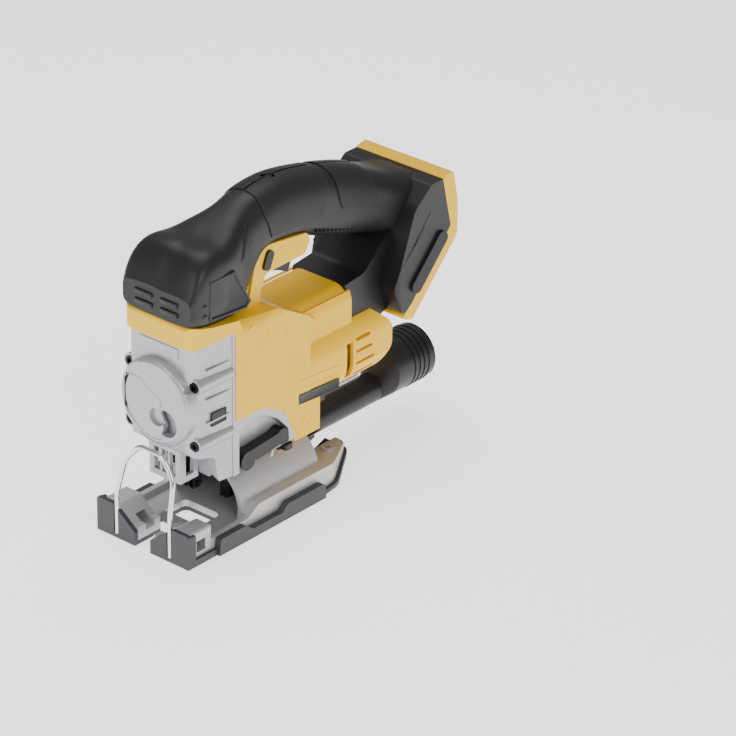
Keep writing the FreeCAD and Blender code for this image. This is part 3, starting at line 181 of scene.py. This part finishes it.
# ------------------------------------------------------------ modelling helpers
def start_clean():
    if bpy.context.object and bpy.context.object.mode != "OBJECT":
        bpy.ops.object.mode_set(mode="OBJECT")
    bpy.ops.object.select_all(action="DESELECT")


def only(obj):
    start_clean()
    obj.select_set(True)
    bpy.context.view_layer.objects.active = obj


def apply_modifier(obj, kind, **settings):
    only(obj)
    modifier = obj.modifiers.new(kind.lower(), kind)
    for name, value in settings.items():
        setattr(modifier, name, value)
    bpy.ops.object.modifier_apply(modifier=modifier.name)


def settle(obj, name, finish, body, angle=40):
    """Names a finished piece, puts its place into its mesh and gives it finish and body."""
    only(obj)
    bpy.ops.object.transform_apply(location=True, rotation=True, scale=True)
    bpy.ops.object.shade_smooth_by_angle(angle=math.radians(angle))
    obj.name = name
    obj.data.name = name
    obj.data.materials.clear()
    obj.data.materials.append(FINISHES[finish])
    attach(obj, body)


def plate_from_outline(points, low, high):
    """Plate between low and high along Y: a disc, its corners moved to the outline of (x, z), drawn out."""
    start_clean()
    bpy.ops.mesh.primitive_circle_add(vertices=len(points), radius=0.01, fill_type="NGON")
    obj = bpy.context.object
    for corner, (x, z) in enumerate(points):
        bpy.ops.object.mode_set(mode="EDIT")
        bpy.ops.mesh.select_mode(type="VERT")
        bpy.ops.mesh.select_all(action="DESELECT")
        bpy.ops.object.mode_set(mode="OBJECT")
        obj.data.vertices[corner].select = True
        run = Vector((x, low, z)) * MM - obj.data.vertices[corner].co
        bpy.ops.object.mode_set(mode="EDIT")
        bpy.ops.transform.translate(value=run)
    bpy.ops.mesh.select_all(action="SELECT")
    bpy.ops.mesh.extrude_region_move(TRANSFORM_OT_translate={"value": (0, (high - low) * MM, 0)})
    bpy.ops.mesh.select_all(action="SELECT")
    bpy.ops.mesh.normals_make_consistent(inside=False)
    bpy.ops.object.mode_set(mode="OBJECT")
    return obj


def round_edges(obj, width, segments, angle=30):
    """Rounds the edges sharper than `angle` degrees."""
    apply_modifier(obj, "BEVEL", width=width * MM, segments=segments, limit_method="ANGLE",
                   angle_limit=math.radians(angle))


def mirrored_copy(obj):
    """A copy of the piece on the saw's other side, with its own mesh."""
    start_clean()
    twin = obj.copy()
    twin.data = obj.data.copy()
    bpy.context.collection.objects.link(twin)
    only(twin)
    bpy.ops.object.mode_set(mode="EDIT")
    bpy.ops.mesh.select_all(action="SELECT")
    bpy.ops.transform.resize(value=(1, -1, 1), center_override=(0, 0, 0))
    bpy.ops.mesh.normals_make_consistent(inside=False)
    bpy.ops.object.mode_set(mode="OBJECT")
    return twin


def settle_pair(obj, name, finish, angle):
    """Settles a housing piece on the saw's left and its mirror image on the right."""
    twin = mirrored_copy(obj)
    settle(obj, "left_" + name, finish, "housing", angle)
    settle(twin, "right_" + name, finish, "housing", angle)


SHELL_EDGE, CASTING_EDGE = 1.0, 0.6
SHARP_EDGE = 32             # degrees: an edge sharper than this is rounded


def soften(node, width):
    """Small rounded edge on a CAD piece, as its mould or casting has."""
    modifier = NODES[node].modifiers.new("soft_edge", "BEVEL")
    modifier.width = width * MM
    modifier.segments = 2
    modifier.limit_method = "ANGLE"
    modifier.angle_limit = math.radians(SHARP_EDGE)
    modifier.use_clamp_overlap = True
    modifier.harden_normals = False


def block(centre, size, round_mm, turn=(0, 0, 0), segments=3):
    """Rounded bar: a cube drawn out to size with every edge bevelled."""
    start_clean()
    bpy.ops.mesh.primitive_cube_add(size=MM, location=Vector(centre) * MM, rotation=turn)
    obj = bpy.context.object
    bpy.ops.object.mode_set(mode="EDIT")
    bpy.ops.mesh.select_all(action="SELECT")
    bpy.ops.transform.resize(value=size, orient_type="LOCAL")
    bpy.ops.mesh.bevel(offset=round_mm * MM, segments=segments, affect="EDGES")
    bpy.ops.object.mode_set(mode="OBJECT")
    return obj


def inset_side(obj, inset_mm, push_mm):
    """Insets the face looking to +Y and pushes it in, leaving a raised border."""
    only(obj)
    bpy.ops.object.mode_set(mode="EDIT")
    bpy.ops.mesh.select_mode(type="FACE")
    bpy.ops.mesh.select_all(action="DESELECT")
    bpy.ops.object.mode_set(mode="OBJECT")
    top = max(obj.data.polygons, key=lambda f: f.normal.y * 1000 + f.center.y)
    top.select = True
    bpy.ops.object.mode_set(mode="EDIT")
    bpy.ops.mesh.inset(thickness=inset_mm * MM)
    bpy.ops.mesh.extrude_region_move(TRANSFORM_OT_translate={"value": (0, -push_mm * MM, 0)})
    bpy.ops.object.mode_set(mode="OBJECT")


# ------------------------------------------------------------ handle panels
# x, middle height of the handle
HANDLE_LINE = [(113.6, 165.5), (96.0, 172.5), (80.0, 172.0), (66.0, 172.2), (52.0, 177.8), (36.0, 190.2),
               (15.0, 193.5), (-10.0, 189.8), (-40.0, 180.8), (-65.0, 173.5), (-88.0, 161.5), (-108.0, 156.5)]
SLEEVE_R = 27.0             # the panels are drawn as a sleeve of this radius, then laid on the skin
RING_STEP = 2.0             # from ring to ring along the sleeve
PANEL_THICKNESS = 0.75
SEAM_GAP = 0.12             # half the gap between the left and right panels on the crown
LEAN_POINT = 12             # the panels' ends lean about a point this far above the middle line


def handle_middle(x):
    """Height of the handle's middle line at x."""
    for (x0, z0), (x1, z1) in zip(HANDLE_LINE, HANDLE_LINE[1:]):
        if x1 <= x <= x0:
            t = (x0 - x) / (x0 - x1)
            return z0 * (1 - t) + z1 * t


def skin_panel(name, front, rear, lowest, lean_front, lean_rear):
    """Soft panel over the left half of the handle: drawn out ring by ring, trimmed and laid on the skin."""
    start_clean()
    bpy.ops.mesh.primitive_circle_add(vertices=72, radius=SLEEVE_R * MM, rotation=(0, math.pi / 2, 0),
                                      location=(front * MM, 0, handle_middle(front) * MM))
    obj = bpy.context.object
    bpy.ops.object.transform_apply(location=True, rotation=True, scale=True)
    bpy.ops.object.mode_set(mode="EDIT")
    bpy.ops.mesh.select_all(action="SELECT")
    x = front
    while x > rear + 0.1:
        step = min(RING_STEP, x - rear)
        rise = handle_middle(x - step) - handle_middle(x)
        bpy.ops.mesh.extrude_region_move(TRANSFORM_OT_translate={"value": (-step * MM, 0, rise * MM)})
        x -= step
    middle = handle_middle((front + rear) / 2)
    a = math.radians(lowest)
    edge_y = (SLEEVE_R - 1) * math.sin(a)
    edge_z = handle_middle(front) + (SLEEVE_R - 1) * math.cos(a)

    def trim(place, normal):
        bpy.ops.mesh.select_all(action="SELECT")
        bpy.ops.mesh.bisect(plane_co=Vector(place) * MM, plane_no=normal, clear_outer=True)

    trim((0, SEAM_GAP, 0), (0, -1, 0))
    slope = (handle_middle(front) - handle_middle(rear)) / (front - rear)
    trim((front, edge_y, edge_z), Vector((slope, 0, -1)).normalized())
    trim((front, 0, middle + LEAN_POINT), Vector((1, 0, -lean_front)).normalized())
    trim((rear, 0, middle + LEAN_POINT), Vector((-1, 0, -lean_rear)).normalized())
    bpy.ops.object.mode_set(mode="OBJECT")
    apply_modifier(obj, "SHRINKWRAP", target=NODES["left_grip"], wrap_method="NEAREST_SURFACEPOINT",
                   wrap_mode="ABOVE_SURFACE", offset=0.02 * MM)
    apply_modifier(obj, "SMOOTH", iterations=3, factor=0.4)
    apply_modifier(obj, "SOLIDIFY", thickness=PANEL_THICKNESS * MM, offset=1.0)
    round_edges(obj, 0.3, 2, 50)
    # the crown is dressed just under the saw's full height
    bpy.ops.object.mode_set(mode="EDIT")
    bpy.ops.mesh.select_all(action="SELECT")
    bpy.ops.mesh.bisect(plane_co=(0, 0, cad_box[1][2] - CROWN_TRIM * MM), plane_no=(0, 0, 1),
                        use_fill=True, clear_outer=True)
    bpy.ops.object.mode_set(mode="OBJECT")
    settle_pair(obj, name, "rubber_pad", 40)


def handle_panels():
    """Front, palm and rear panel: ends, lowest edge in degrees from the crown, lean of the ends."""
    skin_panel("front_grip_panel", 74.0, 47.0, 72, -0.35, -0.3)
    skin_panel("palm_panel", 37.0, -25.0, 104, 0.35, 0.45)
    skin_panel("rear_grip_panel", -31.0, -66.0, 92, 0.3, 0.2)


FINGER_RIBS, FINGER_RIB_FRONT, FINGER_RIB_PITCH = 10, -14.0, 3.7
FINGER_RIB_DROP = 13.5      # below the handle's middle line


def finger_ribs():
    """Slanted anti-slip ribs low on the handle's sides."""
    for i in range(FINGER_RIBS):
        x = FINGER_RIB_FRONT - FINGER_RIB_PITCH * i
        z = handle_middle(x) - FINGER_RIB_DROP
        rib = block((x, 14.6, z), (1.2, 2.2, 8.0), 0.5, (math.radians(38), math.radians(-24), 0), 2)
        apply_modifier(rib, "SUBSURF", levels=1, render_levels=1)
        settle_pair(rib, "finger_rib_%d" % i, "rubber_pad", 50)


# ------------------------------------------------------------ hood, shell, gear head and foot
HOOD_BAR_HEIGHTS = (168.6, 162.0)
CHEEK_OUTLINE = [(98.5, 183.0), (76.0, 183.0), (62.0, 158.0), (66.0, 154.0), (98.0, 156.5), (99.5, 159.0)]


def hood_details():
    """Raised bars round the hood's front and the recessed panel on each of its cheeks."""
    for i, z in enumerate(HOOD_BAR_HEIGHTS):
        bar = block((113.9, 10.5, z), (1.6, 14.5, 3.4), 0.75)
        settle_pair(bar, "hood_bar_%d" % i, "black_part", 50)
    for i, z in enumerate(HOOD_BAR_HEIGHTS):
        bar = block((106.5, 27.6, z - 0.5), (11.0, 4.4, 3.4), 0.9, (0, 0, math.radians(-16)))
        settle_pair(bar, "cheek_bar_%d" % i, "black_part", 50)
    cheek = plate_from_outline(CHEEK_OUTLINE, 24.0, 30.7)
    inset_side(cheek, 1.8, 0.9)
    round_edges(cheek, 0.5, 3)
    settle_pair(cheek, "hood_cheek", "black_shell", 35)


PLATE_OUTLINE = [(19.0, 85.5), (-19.0, 82.5), (-19.0, 75.5), (19.0, 78.5)]
STRIPE_OUTLINE = [(19.0, 76.2), (-19.0, 73.2), (-19.0, 66.0), (19.0, 69.0)]
PLATE_Y = (30.4, 31.3)
BADGE_OUTLINE = [(97.5, 93.5), (84.5, 93.5), (84.5, 84.5), (97.5, 84.5)]
BADGE_Y = (29.2, 30.3)
# x, height and y of the housing screws' far ends
SCREW_WELLS = ((61.6, 137.0, 31.0), (11.5, 53.3, 29.5), (0.0, 120.0, 24.5))
WELL_R, WELL_DEPTH, SCREW_END_R = 3.4, 1.2, 1.9
FACING_LEFT = (-math.pi / 2, 0, 0)


def body_details():
    """Blank rating plates on both sides, blank badge and screw wells on the left."""
    plate = plate_from_outline(PLATE_OUTLINE, *PLATE_Y)
    stripe = plate_from_outline(STRIPE_OUTLINE, *PLATE_Y)
    for obj, name, finish in ((plate, "rating_plate", "yellow_shell"),
                              (stripe, "rating_stripe", "black_part")):
        inset_side(obj, 0.9, 0.25)
        round_edges(obj, 0.25, 2)
        settle_pair(obj, name, finish, 35)
    badge = plate_from_outline(BADGE_OUTLINE, *BADGE_Y)
    inset_side(badge, 0.7, 0.2)
    settle(badge, "blank_badge", "black_part", "housing", 35)
    for i, (x, z, y) in enumerate(SCREW_WELLS):
        start_clean()
        bpy.ops.mesh.primitive_cylinder_add(vertices=40, radius=WELL_R * MM, depth=WELL_DEPTH * MM,
                                            location=(x * MM, (y - 0.35) * MM, z * MM),
                                            rotation=FACING_LEFT)
        well = bpy.context.object
        bpy.ops.object.transform_apply(location=True, rotation=True, scale=True)
        inset_side(well, 0.9, 0.9)
        settle(well, "screw_well_%d" % i, "yellow_shell", "housing", 35)
        start_clean()
        bpy.ops.mesh.primitive_circle_add(vertices=6, radius=SCREW_END_R * MM, fill_type="NGON",
                                          location=(x * MM, (y - 0.5) * MM, z * MM),
                                          rotation=FACING_LEFT)
        star = bpy.context.object
        bpy.ops.object.transform_apply(location=True, rotation=True, scale=True)
        bpy.ops.object.mode_set(mode="EDIT")
        bpy.ops.mesh.select_all(action="SELECT")
        bpy.ops.mesh.extrude_region_move(TRANSFORM_OT_translate={"value": (0, 0.25 * MM, 0)})
        bpy.ops.mesh.inset(thickness=0.5 * MM)
        bpy.ops.object.mode_set(mode="OBJECT")
        settle(star, "screw_end_%d" % i, "black_steel", "housing", 35)


HEAD_RIB_HEIGHTS = (124.0, 104.0, 88.0)
FOOT_RIBS = 3
# x and height of the middle, width and length
SHELL_RIDGES = ((46.0, 125.0, 2.0, 16.0), (30.0, 120.0, 2.0, 12.0))


def head_ribs():
    """Cast cooling ribs on the cheeks of the gear head."""
    for i, z in enumerate(HEAD_RIB_HEIGHTS):
        rib = block((91.0, 29.7, z), (20.0, 1.4, 1.6), 0.5)
        settle_pair(rib, "head_rib_%d" % i, "cast_silver", 50)


def foot_details():
    """Slanting ribs on the battery foot's sides."""
    for i in range(FOOT_RIBS):
        rib = block((-79.0 - 6.0 * i, 36.2, 138.0 + 7.0 * i), (2.0, 1.0, 26.0), 0.45,
                    (0, math.radians(-44), 0), 2)
        settle_pair(rib, "foot_rib_%d" % i, "black_part", 50)


def column_ridges():
    """Shallow moulded ridges on the yellow shell, behind the gear head and along the barrel."""
    for i, (x, z, wide, tall) in enumerate(SHELL_RIDGES):
        ridge = block((x, 30.9, z), (wide, 0.9, tall), 0.4, (0, math.radians(18), 0), 2)
        settle_pair(ridge, "shell_ridge_%d" % i, "yellow_shell", 50)
    for side, word in ((-1, "right"), (1, "left")):
        rail = block((-8.0, side * 23.6, 126.2), (56.0, 2.4, 1.2), 0.5)
        settle(rail, word + "_top_rail", "yellow_shell", "housing", 50)


NOSE_RING_R, NOSE_RING_WIRE, NOSE_RING_STRETCH = 26.8, 0.7, 1.15
NOSE_RING_X, NOSE_RING_Z = 116.8, 98
LEVER_GAP = 12              # the ring ends this far right of the middle, where the release lever swings out


def nose_details():
    """Raised ring round the nose, open on the right where the release lever swings."""
    start_clean()
    bpy.ops.mesh.primitive_torus_add(major_radius=NOSE_RING_R * MM, minor_radius=NOSE_RING_WIRE * MM,
                                     major_segments=96, minor_segments=10,
                                     location=(NOSE_RING_X * MM, 0, NOSE_RING_Z * MM),
                                     rotation=(0, math.pi / 2, 0))
    ring = bpy.context.object
    bpy.ops.object.mode_set(mode="EDIT")
    bpy.ops.mesh.select_all(action="SELECT")
    bpy.ops.transform.resize(value=(1, 1, NOSE_RING_STRETCH), orient_type="LOCAL")
    bpy.ops.object.mode_set(mode="OBJECT")
    bpy.ops.object.transform_apply(location=True, rotation=True, scale=True)
    bpy.ops.object.mode_set(mode="EDIT")
    bpy.ops.mesh.select_all(action="SELECT")
    bpy.ops.mesh.bisect(plane_co=(0, -LEVER_GAP * MM, 0), plane_no=(0, -1, 0), use_fill=True,
                        clear_outer=True)
    bpy.ops.object.mode_set(mode="OBJECT")
    settle(ring, "nose_ring", "cast_silver", "housing", 60)


foot_details()
column_ridges()
nose_details()
handle_panels()
finger_ribs()
hood_details()
body_details()
head_ribs()
for node in ("left_housing", "right_housing", "left_grip", "right_grip"):
    soften(node, SHELL_EDGE)
for node in ("gear_case", "gear_cover", "battery_receiver", "shoe_plate", "sole_cover", "trigger",
             "dust_pipe", "orbit_lever"):
    soften(node, CASTING_EDGE)


# ------------------------------------------------------------ floor, lights, camera
FLOOR_SIZE, FLOOR_DROP, FLOOR_GLOW, AIR_GLOW = 6.0, 0.0002, 1.3, 0.4
# name, place, size, power
SOFTBOXES = (("left_softbox", (0.5, 1.3, 1.0), (0.9, 0.9), 11),
             ("front_softbox", (1.5, -0.2, 0.9), (0.7, 0.9), 8),
             ("top_softbox", (-0.3, -0.4, 1.5), (1.2, 0.8), 10))
LIT_POINT = Vector((0, 0, 0.1))


def floor():
    bpy.ops.object.select_all(action="DESELECT")
    bpy.ops.mesh.primitive_plane_add(size=FLOOR_SIZE, location=(0, 0, -FLOOR_DROP))
    ground = bpy.context.object
    ground.name = "pale_floor"
    finish, tree, shader, place = new_finish("matt_white_paper")
    shader.inputs["Base Color"].default_value = linear("#FBFBFB")
    shader.inputs["Roughness"].default_value = 0.6
    shader.inputs["Emission Color"].default_value = linear("#FFFFFF")
    shader.inputs["Emission Strength"].default_value = FLOOR_GLOW
    ground.data.materials.append(finish)


def softbox(name, place, size, power):
    bpy.ops.object.light_add(type="AREA", location=place)
    lamp = bpy.context.object
    lamp.name = name
    lamp.data.shape = "RECTANGLE"
    lamp.data.size, lamp.data.size_y = size
    lamp.data.energy = power
    lamp.rotation_euler = (LIT_POINT - Vector(place)).to_track_quat("-Z", "Y").to_euler()


def studio():
    floor()
    world = bpy.context.scene.world or bpy.data.worlds.new("studio_air")
    bpy.context.scene.world = world
    world.use_nodes = True
    world.node_tree.nodes["Background"].inputs["Color"].default_value = linear("#FFFFFF")
    world.node_tree.nodes["Background"].inputs["Strength"].default_value = AIR_GLOW
    for name, place, size, power in SOFTBOXES:
        softbox(name, place, size, power)


TARGET = Vector((0.0108, 0.0, 0.0783))
AZIMUTH, ELEVATION, DISTANCE = 132.17, 27.73, 2.53
ACROSS = 0.4627             # metres from edge to edge of the view, at the saw
SHIFT = (0.132, 0.005)      # the saw stands left of the middle
SENSOR = 36.0


def camera():
    a, e = math.radians(AZIMUTH), math.radians(ELEVATION)
    ahead = Vector((-math.sin(a) * math.cos(e), math.cos(a) * math.cos(e), -math.sin(e)))
    data = bpy.data.cameras.new("studio_camera")
    eye = bpy.data.objects.new("studio_camera", data)
    bpy.context.collection.objects.link(eye)
    eye.location = TARGET - ahead * DISTANCE
    eye.rotation_euler = ahead.to_track_quat("-Z", "Y").to_euler()
    data.shift_x, data.shift_y = SHIFT
    data.sensor_width = SENSOR
    data.lens = SENSOR * DISTANCE / ACROSS
    data.clip_end = 20.0
    bpy.context.scene.camera = eye


studio()
camera()
